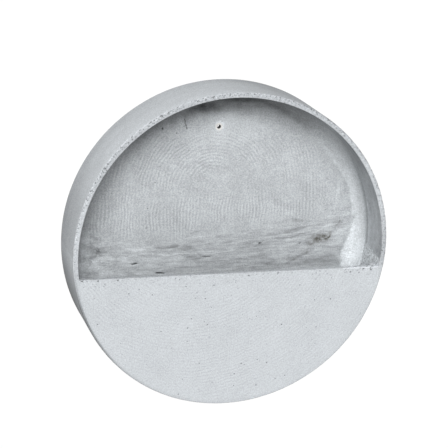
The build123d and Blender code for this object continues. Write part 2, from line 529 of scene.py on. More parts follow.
def add_brushed_arcs(surface, swirls, swirl_y):
    """Show each set of arcs where the mesh's field for that set lets it."""
    wobble = surface.math("MULTIPLY", surface.cloud(24, 1.0, 0.5), 7 * MM)
    for index, (centre_x, centre_z, pitch) in enumerate(swirls):
        centre = (centre_x * MM, swirl_y * MM, centre_z * MM)
        offset = surface.node("ShaderNodeVectorMath", {0: surface.place, 1: centre}, operation="SUBTRACT")
        far = surface.node("ShaderNodeVectorMath", {0: offset.outputs[0]}, operation="LENGTH")
        waved = surface.math("ADD", far.outputs["Value"], wobble)
        turns = surface.math("MULTIPLY", waved, 2 * np.pi / (pitch * MM))
        wave = surface.math("MULTIPLY", surface.math("SINE", turns, 0), surface.field(f"brushed_{index}"))
        # The tint is partly painted light and shade on the ripples, and partly dust in them
        surface.tint(wave, 0.11)
        surface.lift(wave, 0.35)


def add_trowel_streaks(surface):
    """Fine streaks and folded marbling, where the mesh's field "dragged" shows them."""
    streaks = surface.math("SUBTRACT", surface.cloud(2.4, 3.0, 0.65, surface.drawn_out(5, 0.11)), 0.5)
    folds = surface.cloud(6.5, 5.0, 0.70, surface.drawn_out(8, 0.45), distortion=1.2)
    marbling = surface.math("SUBTRACT", folds, 0.5)
    shown = surface.math("MULTIPLY", surface.math("ADD", streaks, marbling), surface.field("dragged"))
    surface.tint(shown, 0.80)
    surface.lift(shown, 2.0)


def add_crumbs(surface):
    """Gaps darkened with painted shade, and pale grains, where the mesh's field "crumbly" shows them."""
    crumbly = surface.field("crumbly")
    gaps = surface.math("MULTIPLY", surface.specks(2.5, 0.55), crumbly)
    grains = surface.math("MULTIPLY", surface.specks(2.2, 0.56), crumbly)
    surface.tint(gaps, -0.66)
    surface.tint(grains, 0.40)
    surface.lift(surface.math("SUBTRACT", grains, gaps), 1.2)


def add_air_pits(surface, share):
    """Small round pits in a share of the cells that the surface is split into."""
    cells = surface.node("ShaderNodeTexVoronoi", {"Vector": surface.place, "Scale": 1 / (4.2 * MM)})
    # Each cell's own random colour sets how large its pit is
    colour = surface.node("ShaderNodeSeparateColor", {0: cells.outputs["Color"]})
    chosen = surface.math("SUBTRACT", colour.outputs[0], 1 - share, clamp=True)
    reach = surface.math("MULTIPLY", chosen, 0.26 / share)
    inside = surface.math("SUBTRACT", reach, cells.outputs["Distance"], clamp=True)
    pit = surface.math("MULTIPLY", inside, 12.0, clamp=True)
    # Painted shade darkens each pit
    surface.tint(pit, -0.68)
    surface.lift(pit, -1.5)


def concrete(name, base, mottle=0.05, grain=0.27, pits=0.0, swirls=(), swirl_y=0.0):
    """A cement surface: cloudy and sandy colour, air pits, and a fine sandy bump.

    The mesh's field "tone" lightens or darkens it, painted light and shade included, and "stain" soaks it in
    brown.
    """
    surface = Surface(name, specular=0.25)
    sand = surface.cloud(1.6, 2.0, 0.7)
    clouds = surface.swing(surface.cloud(42, 3.0, 0.55), mottle)
    patches = surface.swing(surface.cloud(8, 4.0, 0.6), 0.6 * mottle)
    mottling = surface.math("MULTIPLY", clouds, patches)
    surface.factor = surface.math("MULTIPLY", mottling, surface.swing(sand, grain))
    surface.tint(surface.field("tone"), 1.0)
    surface.relief = surface.math("ADD", surface.math("MULTIPLY", sand, 0.8), surface.cloud(3.5, 3.0, 0.5))
    add_brushed_arcs(surface, swirls, swirl_y)
    add_trowel_streaks(surface)
    add_crumbs(surface)
    if pits:
        add_air_pits(surface, pits)

    tinted = surface.node("ShaderNodeVectorMath", {0: base, "Scale": surface.factor}, operation="SCALE")
    patchy = surface.math("ADD", surface.math("MULTIPLY", surface.cloud(4.0, 3.0, 0.6), 3.4), -0.85)
    soaking = surface.math("MULTIPLY", surface.field("stain"), patchy, clamp=True)
    colours = {"Factor": soaking, "A": tinted.outputs[0], "B": (*DAMP_BROWN, 1)}
    soaked = surface.node("ShaderNodeMix", colours, data_type="RGBA")
    roughness = surface.math("ADD", surface.math("MULTIPLY", sand, 0.16), 0.80)
    return surface.finish(soaked.outputs["Result"], roughness, bump_strength=0.5, bump_distance=0.35)


def fibre_mesh(name):
    """Coated glass-fibre strand: pale, slightly glossy, with the fine ridges of its filaments."""
    surface = Surface(name, specular=0.4)
    ridges = surface.cloud(0.4, 2.0, 0.5)
    colour = surface.node("ShaderNodeValToRGB", {"Fac": ridges})
    colour.color_ramp.elements[0].color = (0.50, 0.52, 0.48, 1)
    colour.color_ramp.elements[1].color = (0.80, 0.80, 0.76, 1)
    shine = surface.node("ShaderNodeMapRange", {"Value": ridges, "To Min": 0.35, "To Max": 0.65})
    surface.relief = ridges
    colour, roughness = colour.outputs["Color"], shine.outputs["Result"]
    return surface.finish(colour, roughness, bump_strength=1.0, bump_distance=0.1)


# ---------------- back plate

def disc_points(n, radius):
    """A square grid bent onto a disc, so its cells stay nearly even. Returns x and z, n + 1 by n + 1."""
    a, b = np.meshgrid(np.linspace(-1, 1, n + 1), np.linspace(-1, 1, n + 1), indexing="ij")
    wide = np.abs(a) >= np.abs(b)
    long, short = np.where(wide, a, b), np.where(wide, b, a)
    angle = np.pi / 4 * np.divide(short, long, out=np.zeros_like(a), where=long != 0)
    r_cos, r_sin = long * np.cos(angle), long * np.sin(angle)
    return radius * np.where(wide, r_cos, r_sin), radius * np.where(wide, r_sin, r_cos)


def plate_depth(x, z):
    """How far the plate's front lies behind its highest points."""
    ripples = 0
    for index, (centre_x, centre_z, pitch) in enumerate(SWIRLS):
        far = np.hypot(x - centre_x, z - centre_z)
        ripples = ripples + 0.05 * np.sin(2 * np.pi * far / pitch) * brushed(x, z, index)
    lumps = 0.16 * noise(x, 0, z, 38, 3) + 0.05 * rough_noise(x, 0, z, 5, 4)
    return above(0, 0.35 + ripples + lumps) + niche_cuts(x, z)


def back_depth(x, z):
    """How far the trowelled back of the plate lies in from its flat plane."""
    drag = rough_noise(x + 0.3 * z, 0, z - 0.3 * x, (60, 1, 9), 31)
    return 0.10 * (1 + drag) + pit_depth(x, z, BACK_PITS)


def scattered_pits(count, half_width, half_height, largest, deepest, seed):
    """Round pits strewn over a rectangle about the axis: mostly small, a few large."""
    smallest, shallowest = 0.6, 0.2
    rng = np.random.default_rng(seed)
    across, up, deep = rng.random((count, 3)).T
    size = rng.random(count) ** 2
    radius = smallest + (largest - smallest) * size
    depth = shallowest + (deepest - shallowest) * deep
    return np.stack([half_width * (2 * across - 1), half_height * (2 * up - 1), radius, depth], 1)


BACK_PITS = scattered_pits(120, 185, 185, 2.6, 0.9, 5)


def disc_edge(n):
    """The numbers of a disc's edge points, in order round it."""
    side = n + 1
    last = side * side - 1
    edges = range(0, side * n, side), range(side * n, last), range(last, n, -side), range(n, 0, -1)
    return np.concatenate(edges)


def make_back_plate():
    back_cells = 150
    front_cells = 2 * back_cells
    fine_radius = 178
    sunk = 0.4
    x, z = disc_points(front_cells, fine_radius)
    front = np.stack([x, PLATE_Y + plate_depth(x, z), z], -1).reshape(-1, 3)
    back_x, back_z = disc_points(back_cells, INNER_R)
    within = np.hypot(back_x, back_z) < INNER_R - 0.1
    back = np.stack([back_x, -back_depth(back_x, back_z) * within, back_z], -1).reshape(-1, 3)
    # Under the cove the front runs on, sunk a little, to the full radius
    front_edge = disc_edge(front_cells)
    ring = front[front_edge] * (INNER_R / fine_radius)
    ring[:, 1] = PLATE_Y + sunk
    points = np.concatenate([front, ring, back])
    ring_edge = np.arange(len(front), len(front) + len(ring))
    before_back = len(front) + len(ring)
    back_edge = disc_edge(back_cells) + before_back
    faces = grid_faces(front_cells + 1, front_cells + 1, False, False).tolist()
    faces += (grid_faces(back_cells + 1, back_cells + 1, False, False) + before_back).tolist()
    next_ring = np.roll(ring_edge, -1)
    faces += np.stack([front_edge, np.roll(front_edge, -1), next_ring, ring_edge], -1).tolist()
    # The back has half as many edge points as the front
    side = [ring_edge[::2], ring_edge[1::2], next_ring[1::2], np.roll(back_edge, -1), back_edge]
    faces += np.stack(side, -1).tolist()

    def on_front(values):
        """The front's values, and 0 on the ring and the back."""
        return np.concatenate([values.ravel(), np.zeros(len(ring) + len(back))])

    # The plate's tone takes in painted light at the right cove and painted shade under the top of the wall
    tone = on_front(niche_tone(x, z) + right_cove_painted_light(x, z) - cove_top_painted_shade(x, z))
    tone[before_back:] = back_tone(back_x, back_z).ravel()
    arcs = {f"brushed_{index}": on_front(brushed(x, z, index)) for index in range(len(SWIRLS))}
    dragged = on_front(0.12 + 0.88 * coat_cover(x, z))
    stain = on_front(niche_stain(x, z))
    piece = make_piece("back_plate_casting", points, faces, tone=tone, stain=stain, dragged=dragged, **arcs)
    drill_hole(piece)
    return piece


def back_tone(x, z):
    """Tone of the plate's back: dragged by the trowel, with painted shade in its pits."""
    dragged = rough_noise(x + 0.3 * z, 0, z - 0.3 * x, (60, 1, 7), 33)
    return 0.05 * dragged + 0.05 * rough_noise(x, 0, z, 40, 35) - 0.35 * pit_depth(x, z, BACK_PITS)


HOLE_PAINTED_SHADE = -0.88  # how much darker the painted shade makes the inside of the hanging hole


def drill_hole(piece):
    """Cut the hanging hole and the chipped seat round its mouth."""
    cutter = bmesh.new()
    along_y = Matrix.Rotation(np.pi / 2, 4, "X")
    top = PLATE_Y - 1
    bore, seat = (HOLE_R, 1), (COLLAR_R - 0.9, PLATE_Y + 1.4)
    for radius, bottom in (bore, seat):
        middle = Vector((HOLE_X, (top + bottom) / 2, HOLE_Z)) * MM
        bmesh.ops.create_cone(cutter, cap_ends=True, segments=48, radius1=radius * MM, radius2=radius * MM,
                              depth=(bottom - top) * MM, matrix=Matrix.Translation(middle) @ along_y)
        mesh = bpy.data.meshes.new("drill")
        cutter.to_mesh(mesh)
        cutter.clear()
        drill = new_object("drill", mesh)
        cut = piece.modifiers.new("drill", "BOOLEAN")
        cut.operation = "DIFFERENCE"
        cut.solver = "EXACT"
        cut.object = drill
        shape = piece.evaluated_get(bpy.context.evaluated_depsgraph_get())
        result = bpy.data.meshes.new_from_object(shape)
        piece.modifiers.clear()
        piece.data = result
        bpy.data.objects.remove(drill)
    cutter.free()
    points = np.array([v.co for v in piece.data.vertices]) / MM
    from_axis = np.hypot(points[:, 0] - HOLE_X, points[:, 2] - HOLE_Z)
    in_hole = (from_axis < HOLE_R + 0.1) & (points[:, 1] > PLATE_Y + 1)
    # Painted shade darkens the inside of the bore
    for number in np.flatnonzero(in_hole):
        piece.data.attributes["tone"].data[number].value = HOLE_PAINTED_SHADE


# ---------------- drum wall

EDGE_CHIPS = [  # angle in degrees, half-length and depth of the larger chips on the wall's outer front edge
    (158, 2.0, 0.7), (151, 1.6, 0.8), (146, 2.2, 0.9), (141, 1.4, 0.7), (137, 2.0, 1.0),
    (133, 1.5, 0.8), (128, 1.8, 0.9), (124, 1.3, 0.7), (119.5, 2.0, 1.0), (116, 1.4, 1.0),
    (113, 2.2, 1.1), (110, 1.6, 1.0), (106, 1.2, 0.7), (102, 1.8, 1.0), (98, 1.5, 0.8), (93, 1.2, 0.7),
    (87, 1.4, 0.6), (78, 1.2, 0.6), (65, 1.8, 0.9), (60.5, 1.2, 0.6), (56, 1.6, 1.2), (53, 2.2, 1.0),
    (48, 2.0, 1.1), (45, 1.4, 0.9), (38, 1.6, 0.8), (31, 1.2, 0.6), (12, 1.4, 0.7), (7, 1.2, 0.7),
    (4, 1.0, 0.7), (-104, 1.4, 0.6), (-116, 1.2, 0.5), (-160, 1.2, 0.8), (-165.5, 1.4, 0.9),
]

RIM_WEAR = [  # angle in degrees, and how far the wall's front edge has crumbled there
    (-180, 0.30), (-165, 0.12), (-20, 0.10), (-5, 0.40), (20, 0.60), (45, 0.85), (75, 0.75), (95, 1.00),
    (165, 1.00), (174, 0.50), (180, 0.30),
]

FACE_LEVEL = [  # angle in degrees, and how much lighter or darker the wall's front edge is there
    (-180, 0.02), (-172, -0.08), (-165, -0.12), (-150, -0.11), (-135, -0.06), (-110, -0.06),
    (-60, -0.04), (0, -0.03), (25, 0.03), (40, -0.05), (85, -0.08), (130, -0.07), (147, -0.10),
    (160, 0.02), (174, 0.06), (180, 0.02),
]

EDGE_PAINTED_SHADE = [  # angle in degrees, and how dark the painted shade is on the wall's outer front edge
    (-178, 0.00), (-168, 0.22), (-156, 0.48), (-145, 0.40), (-136, 0.20), (-128, 0.10), (-100, 0.10),
    (-60, 0.08), (0, 0.00), (22, 0.00), (32, 0.34), (58, 0.34), (68, 0.00),
]


def wall_profile(front_arris, inner_arris):
    """The drum wall's section, from the back, round the outside to the front, and back along the inside."""
    back_arris = 2.0
    rows = line_rows((INNER_R, 0), (OUTER_R - back_arris, 0), 3)
    rows += arc_rows((OUTER_R - back_arris, -back_arris), back_arris, 90, 0, 5)
    rows += line_rows((OUTER_R, -back_arris), (OUTER_R, FRONT + 6), 18)
    rows += line_rows((OUTER_R, FRONT + 6), (OUTER_R, FRONT + front_arris), 6)
    rows += arc_rows((OUTER_R - front_arris, FRONT + front_arris), front_arris, 0, -90, 5)
    rows += line_rows((OUTER_R - front_arris, FRONT), (INNER_R + inner_arris, FRONT), 7)
    rows += arc_rows((INNER_R + inner_arris, FRONT + inner_arris), inner_arris, -90, -180, 3)
    rows += line_rows((INNER_R, FRONT + inner_arris), (INNER_R, 0), 22)
    return np.array(rows)


def edge_crumble(x, y, z, angle, to_edge):
    """How deep the wall's outer front edge has crumbled and chipped, at a distance to_edge from it."""
    near_edge = np.clip(1 - to_edge / 2.4, 0, 1)
    depth = 2.6 * above(0.05, rough_noise(x, y, z, 2.8, 41)) * at_angle(RIM_WEAR, angle) * near_edge
    depth += 0.30 * above(0, rough_noise(x, y, z, 1.7, 43)) * near_edge
    for degrees, half_length, deepest in EDGE_CHIPS:
        along_edge = OUTER_R * wrapped(angle - radians(degrees))
        chip = 1 - (along_edge / half_length) ** 2 - (to_edge / (0.8 * half_length)) ** 2
        depth = np.maximum(depth, deepest * np.clip(chip, 0, 1))
    return depth


def edge_painted_shade(r, y, angle):
    """How much darker the painted shade makes the wall's outer front edge. It spreads widest at the lower
    left.
    """
    width = 1.0 + 1.8 * smooth_step(0.75, 0.35, np.abs(wrapped(angle) + radians(150)))
    shade = at_angle(EDGE_PAINTED_SHADE, angle) * smooth_step(OUTER_R - width - 0.5, OUTER_R - width + 0.5, r)
    return shade * smooth_step(FRONT + 4, FRONT + 2, y)


def outside_light_shade_and_tone(y, angle):
    """Painted light and shade on the wall's outside, with random patches of tone: painted light at the upper
    left and towards the front, painted shade underneath, at the left and at the front right.
    """
    turn = wrapped(angle)
    upper_left = smooth_step(0.95, 0.25, np.abs(turn - radians(122)))
    underneath = smooth_step(0.05, -0.30, np.sin(angle))
    left = smooth_step(0.6, 0.1, np.abs(turn - radians(172)))
    right_front = smooth_step(0.6, 0.2, np.abs(turn)) * smooth_step(FRONT + 6, FRONT + 1, y)
    patches = rough_noise(angle * OUTER_R, 0, y, (30, 1, 14), 58)
    tone = 0.19 * upper_left - 0.40 * underneath - 0.09 - 0.0040 * (y - FRONT / 2)
    return tone - 0.10 * left - 0.30 * right_front + 0.07 * patches


def inside_tone(y, angle):
    """Tone of the wall's inside: mottled, with a pale streak at the right, and darker above it."""
    turn = wrapped(angle)
    mottling = rough_noise(angle * OUTER_R, 0, y, (14, 1, 5), 59)
    streak = stroke(turn * INNER_R, y, (INNER_R * radians(26), -34), (INNER_R * radians(-12), -33), 9)
    right = smooth_step(radians(26), radians(-4), turn) * smooth_step(-66, -38, y)
    upper_right = smooth_step(0.36, 0.05, np.abs(turn - radians(42)))
    near_front = smooth_step(-62, -72, y)
    side = 0.20 * right - 0.24 * upper_right - 0.12 * near_front
    return 0.26 * mottling + 0.24 * streak + side * (turn > -1)


def make_rim_wall():
    columns = 1400
    open_profile = wall_profile(front_arris=1.0, inner_arris=0.35)
    flush_profile = wall_profile(front_arris=1.8, inner_arris=0.05)
    angle = np.linspace(0, 2 * np.pi, columns, endpoint=False)[:, None]
    # Where the panel fills the drum, its seam with the wall is rubbed flush
    flush = smooth_step(PANEL_TOP + 4, PANEL_TOP - 2, INNER_R * np.sin(angle))
    r = open_profile[:, 0] * (1 - flush) + flush_profile[:, 0] * flush
    y = open_profile[:, 1] * (1 - flush) + flush_profile[:, 1] * flush
    angle = np.broadcast_to(angle, r.shape)
    x, z = r * np.cos(angle), r * np.sin(angle)
    along = np.roll(open_profile, -1, 0) - np.roll(open_profile, 1, 0)
    along /= np.linalg.norm(along, axis=1)[:, None]
    out_r, out_y = -along[:, 1], along[:, 0]

    on_face = smooth_step(FRONT + 1.2, FRONT + 0.2, y) * smooth_step(INNER_R - 0.5, INNER_R + 0.5, r)
    on_face = on_face * smooth_step(OUTER_R - 0.2, OUTER_R - 1.2, r)
    open_face, flush_face = on_face * (1 - flush), on_face * flush
    inside = smooth_step(INNER_R + 0.6, INNER_R + 0.1, r)
    outside = (1 - on_face) * (1 - inside)
    to_edge = np.hypot(r - OUTER_R, y - FRONT)
    crumble = edge_crumble(x, y, z, angle, to_edge)
    sandy = 0.07 * (1 + rough_noise(x, y, z, 1.8, 45)) * open_face
    pocks = 1.6 * above(0.66, noise(x, y, z, 2.0, 47)) * open_face
    waves = 0.14 * (1 + noise(x, y, z, (60, 30, 60), 49)) * (1 - on_face)
    skin = 0.05 * (1 + rough_noise(x, y, z, 4, 53)) * (1 - on_face)
    inward = crumble + sandy + pocks + waves + skin + face_relief(x, z) * flush_face
    points = around(r - inward * out_r, y - inward * out_y, angle)

    hoops = rough_noise(angle * OUTER_R, 0, y, (120, 1, 9), 55) * (1 - on_face)
    tone = (0.035 * rough_noise(x, y, z, 26, 51) + 0.045 * hoops) * (1 - flush_face)
    tone = tone + flush_face * face_tone(x, z)
    # The open face is darkest at the right, to both sides of angle 0
    right = sum(blot(angle, np.sin(angle), (middle, 0), (0.4, 0.4)) for middle in (0.02, 2 * np.pi))
    tone = tone + open_face * (0.10 * rough_noise(x, y, z, 1.6, 57) - 0.04 - 0.13 * right)
    seam = flush * smooth_step(INNER_R + 4, INNER_R + 0.5, r)
    tone = tone + on_face * at_angle(FACE_LEVEL, angle) * (1 - seam)
    # Painted shade in the crumbled chips and the pocks, and along the outer front edge
    tone = tone - 0.65 * smooth_step(0.22, 0.6, crumble) * (1 - 0.5 * flush)
    tone = tone - 0.45 * smooth_step(0.1, 0.4, pocks) - edge_painted_shade(r, y, angle)
    # Painted light and shade on the outside, by which way it faces
    tone = tone + outside * outside_light_shade_and_tone(y, angle) + inside * inside_tone(y, angle)
    worn = at_angle(RIM_WEAR, angle)
    crumbly = open_face * (0.30 + 0.70 * worn * smooth_step(5.5, 2.0, to_edge))
    crumbly = crumbly + 0.6 * worn * (1 - on_face) * smooth_step(3.0, 0.5, to_edge) * (1 - flush)
    faces = grid_faces(*angle.shape, True, True).tolist()
    return make_piece("rim_wall_casting", points, faces, tone=tone, crumbly=crumbly, dragged=0.6 * inside)


# ---------------- front panel

PANEL_PITS = [  # x, z, radius and depth of the panel's larger pits
    (-188.4, -27, 2.4, 1.2), (-168.7, -29, 1.5, 0.9), (-144.2, -29, 1.5, 0.8), (-110, -29.5, 0.9, 0.5),
    (-72.6, -30, 1.2, 0.6), (-23.7, -41.7, 1.4, 0.8), (-34.6, -49.3, 1.2, 0.6),
    (-44.1, -49.6, 1.2, 0.6), (-80.3, -51.7, 1.0, 0.5), (-30, -31, 0.9, 0.5), (154.4, -32.7, 1.4, 0.8),
    (165.9, -33.9, 1.3, 0.7), (148.2, -29, 1.1, 0.6), (121.6, -30, 1.0, 0.6), (128.6, -35.4, 1.1, 0.6),
    (124, -33.5, 0.9, 0.5), (88.3, -46.6, 1.2, 0.6), (59.7, -29, 1.1, 0.6), (182, -31, 1.4, 0.8),
    (40, -30, 0.9, 0.4), (172, -29, 1.2, 0.6), (60, -34, 0.8, 0.4), (-184, -67.8, 1.2, 0.8),
    (-188.5, -50, 1.3, 0.9), (100, -140, 1.0, 0.5), (36, -90, 0.9, 0.5), (-60, -120, 0.9, 0.5),
    (-20, -170, 1.0, 0.5), (70, -168, 0.9, 0.4),
]


def face_relief(x, z):
    """How far the rubbed front lies in from its plane, the same on the panel and on the wall round it."""
    return 0.03 * (1 + rough_noise(x, 0, z, 3.0, 61)) + 0.04 * (1 + noise(x, 0, z, 50, 63))


def face_tone(x, z):
    """Tone of the rubbed front, the same on the panel and on the wall round it."""
    sanded = rough_noise(x + 0.7 * z, 0, z - 0.7 * x, (16, 1, 2.6), 75)
    return 0.030 * rough_noise(x, 0, z, 34, 65) + 0.035 * rough_noise(x, 0, z, 5, 73) + 0.035 * sanded


def make_front_panel():
    columns, front_rows, back_rows, corner_rows = 380, 165, 24, 4
    arris = 0.8
    # Columns are spaced as the sine of an angle, so that they stay even along the round edge
    angle = np.linspace(-1, 1, columns + 1) * (np.pi / 2 - 0.035)
    x = panel_high.x * np.sin(angle) / np.sin(angle[-1])
    bottom = np.minimum(-np.sqrt(above(0, (INNER_R + 0.35) ** 2 - x ** 2)), PANEL_TOP - 1.2)[:, None]
    top = PANEL_TOP - arris
    turn = np.radians(np.linspace(0, 90, corner_rows + 1))
    # Each row: its share of the height from bottom to top, its rise above the top, and its y
    rows = [(share, 0, FRONT) for share in np.linspace(0, 1, front_rows)]
    rows += [(1, arris * np.sin(a), FRONT + arris * (1 - np.cos(a))) for a in turn[1:]]
    rows += [(1, arris * np.sin(a), PANEL_BACK - arris * (1 - np.cos(a))) for a in turn[:0:-1]]
    rows += [(share, 0, PANEL_BACK) for share in np.linspace(1, 0, back_rows)]
    share, rise, y = np.array(rows).T
    z = bottom + (top - bottom) * share + rise
    x, y = np.broadcast_to(x[:, None], z.shape), np.broadcast_to(y, z.shape)

    on_front, on_back = (y == FRONT).astype(float), (y == PANEL_BACK).astype(float)
    to_front_edge = np.hypot(y - FRONT, z - PANEL_TOP)
    to_back_edge = np.hypot(y - PANEL_BACK, z - PANEL_TOP)
    # Fine pits lie over the whole panel, and more of them close under its top edge
    fine_pits = scattered_pits(260, 188, 82, 1.1, 0.5, 7)
    fine_pits[:, 1] -= 112
    edge_pits = scattered_pits(150, 188, 11, 1.1, 0.6, 9)
    edge_pits[:, 1] = PANEL_TOP - 1.5 - np.abs(edge_pits[:, 1])
    pits = pit_depth(x, z, [*PANEL_PITS, *fine_pits, *edge_pits]) * on_front
    crumbs = 0.9 * above(0.15, rough_noise(x, y, z, 2.6, 67)) * np.clip(1 - to_front_edge / 2.0, 0, 1)
    crumbs += 0.7 * above(0.10, rough_noise(x, y, z, 3.4, 69)) * np.clip(1 - to_back_edge / 1.6, 0, 1)
    inward = (face_relief(x, z) + pits) * on_front - 0.10 * (1 + rough_noise(x, y, z, 14, 71)) * on_back
    points = np.stack([x, y + inward, z - crumbs], -1)

    # Painted shade darkens the pits, and the crumbs along the top edges
    tone = face_tone(x, z) - 0.60 * smooth_step(0.12, 0.6, pits)
    pale_arris = np.clip(1 - to_back_edge / 1.5, 0, 1) * smooth_step(84, 98, x) * smooth_step(156, 146, x)
    tone = tone + 0.16 * pale_arris - 0.25 * smooth_step(0.2, 0.6, crumbs)
    tone = tone + 0.35 * smooth_step(136, 154, x) * smooth_step(PANEL_TOP - 1.6, PANEL_TOP - 0.6, z)
    near_top = smooth_step(7, 0, PANEL_TOP - z)
    ends = smooth_step(146, 166, x) + 0.7 * smooth_step(-168, -182, x)
    crumbly = near_top * (0.42 + 0.58 * ends)
    arcs = 0.24 * (1 + 1.6 * rough_noise(x, 0, z, 22, 77)) * on_front
    faces = capped_faces(*z.shape)
    return make_piece("front_panel_casting", points, faces, tone=tone, crumbly=crumbly, brushed_0=arcs)


# ---------------- mortar

def make_back_cove():
    columns, arc_count = 1200, 26
    skirt = 8.0
    radius = COVE_R - 0.3
    centre = (INNER_R - COVE_R, PLATE_Y - COVE_R)
    # The mortar thins out over the plate and up the wall, until it sinks below their surfaces
    rows = line_rows((centre[0] - skirt, PLATE_Y + 1.0), (centre[0], PLATE_Y - COVE_R + radius), 7)
    rows += arc_rows(centre, radius, 90, 0, arc_count)
    rows += line_rows((centre[0] + radius, centre[1]), (INNER_R + 0.9, centre[1] - skirt), 7)
    behind_r, behind_y = INNER_R + 1.0, PLATE_Y + 1.4
    rows += [(behind_r, centre[1] - skirt), (behind_r, behind_y), (centre[0] - skirt, behind_y)]
    profile = np.array(rows)
    shown = np.zeros(len(rows))
    shown[1:-4] = 1
    angle = np.linspace(0, 2 * np.pi, columns, endpoint=False)[:, None]
    r, y = np.broadcast_arrays(profile[:, 0] + 0 * angle, profile[:, 1] + 0 * angle)
    angle = np.broadcast_to(angle, r.shape)
    arc = angle * INNER_R
    away_r, away_y = centre[0] - r, centre[1] - y
    length = np.maximum(np.hypot(away_r, away_y), 1)
    bulge = 0.40 * rough_noise(arc, r, y, (80, 7, 7), 71) + 0.10 * rough_noise(arc, r, y, 4, 73)
    x, z = r * np.cos(angle), r * np.sin(angle)
    bulge = (bulge - 0.8 * niche_cuts(x, z)) * shown
    points = around(r + bulge * away_r / length, y + bulge * away_y / length, angle)
    along_arc = np.hypot(r - centre[0] + skirt, y - PLATE_Y)
    bands = rough_noise(arc, along_arc, 0, (90, 4.5, 1), 75)
    on_plate = smooth_step(centre[0] + 14, centre[0] - 4, r)
    # Painted shade under the top of the wall, in full on the cove
    tone = niche_tone(x, z) * (0.35 + 0.65 * on_plate) - cove_top_painted_shade(x, z)
    tone = tone + 0.075 * bands * (1 - 0.6 * on_plate)
    steep = np.degrees(np.arctan2(r - centre[0], y - centre[1]))
    # Painted light on the right cove
    tone = tone + right_cove_painted_light(x, z) * smooth_step(90, 74, steep)
    smeared = smooth_step(-6, -20, z) * smooth_step(66, 82, steep) * (x > 0)
    tone = tone + 0.42 * smeared
    stain = niche_stain(x, z) * on_plate
    dragged = 0.35 + 0.35 * on_plate * coat_cover(x, z)
    faces = grid_faces(*r.shape, True, True).tolist()
    return make_piece("back_cove_mortar", points, faces, tone=tone, stain=stain, dragged=dragged,
                      crumbly=0.7 * smeared)


def make_panel_fillet():
    columns, arc_count = 560, 9
    feather = 0.6
    radius = BEAD_R - feather
    right = np.arcsin((PANEL_TOP + 2) / INNER_R)
    left = -np.pi - np.arcsin((PANEL_TOP - 0.5) / INNER_R)
    centre = (INNER_R - BEAD_R, PANEL_BACK + BEAD_R)
    rows = arc_rows(centre, radius, -90, 0, arc_count)
    rows += line_rows((INNER_R - feather, centre[1]), (INNER_R, centre[1]), 1)
    rows += line_rows((INNER_R, centre[1]), (INNER_R, PANEL_BACK), 3)
    rows += line_rows((INNER_R, PANEL_BACK), (centre[0], PANEL_BACK), 3)
    rows += line_rows((centre[0], PANEL_BACK), (centre[0], PANEL_BACK + feather), 1)
    profile = np.array(rows)
    hollow = np.zeros(len(rows))
    hollow[1:arc_count] = 1
    angle, r = np.meshgrid(np.linspace(right, left, columns), profile[:, 0], indexing="ij")
    y = np.broadcast_to(profile[:, 1], angle.shape)
    arc = angle * INNER_R
    move = 0.7 * rough_noise(arc, r, y, 3.5, 81) * hollow
    r, y = r + (r - centre[0]) / radius * move, y + (y - centre[1]) / radius * move
    bead = around(r, y, angle)
    bead_tone = 0.10 * rough_noise(arc, r, y, 3, 83) - 0.04
    smear, smear_tone = right_smear()
    faces = capped_faces(*angle.shape)
    faces += [[i + angle.size for i in face] for face in capped_faces(*smear.shape[:2])]
    points = np.concatenate([bead.reshape(-1, 3), smear.reshape(-1, 3)])
    tone = np.concatenate([bead_tone.ravel(), smear_tone.ravel()])
    return make_piece("panel_fillet_mortar", points, faces, tone=tone, crumbly=np.full(tone.shape, 0.65))


SMEAR_TOP = [  # y and z of the smear's ragged upper edge on the drum wall, from the front edge inwards
    (-80, -19), (-72, -20), (-57, -19), (-45, -15), (-30, -10), (-20, -8),
]


def right_smear():
    """The rough mortar smeared over the wall at the panel's right end: a thin sheet, closed at its back."""
    rows, columns = 56, 64
    z = np.linspace(PANEL_TOP - 34, PANEL_TOP + 15, rows)[:, None]
    y = np.linspace(FRONT + 0.8, -20, columns)[None, :]
    y, z = np.broadcast_arrays(y, z)
    top = between(SMEAR_TOP, y) + 1.6 * rough_noise(0, y, z, 5, 301)
    inside = smooth_step(5.0, -9.0, z - top)
    inside = inside * smooth_step(FRONT + 1.0, FRONT + 3.5, y) * smooth_step(-21, -29, y)
    inside = inside * smooth_step(PANEL_TOP - 33, PANEL_TOP - 20, z + 3 * noise(0, y, z, 9, 307))
    lumps = rough_noise(0, y, z, 3.6, 303) + 0.6 * rough_noise(0, y, z, 1.8, 305)
    thick = (0.42 + 0.50 * lumps) * inside - 0.30 * (1 - inside)
    wall_x = np.sqrt(INNER_R ** 2 - z ** 2)
    face = np.stack([wall_x - thick, y, z], -1)
    back = np.stack([wall_x + 1.2, y, z], -1)[:, ::-1]
    pale = 0.38 + 0.26 * lumps + 0.16 * smooth_step(-48, -34, y)
    tone = np.concatenate([pale, 0 * lumps], 1)
    return np.concatenate([face, back], 1), tone


# ---------------- trowelled coat and filler

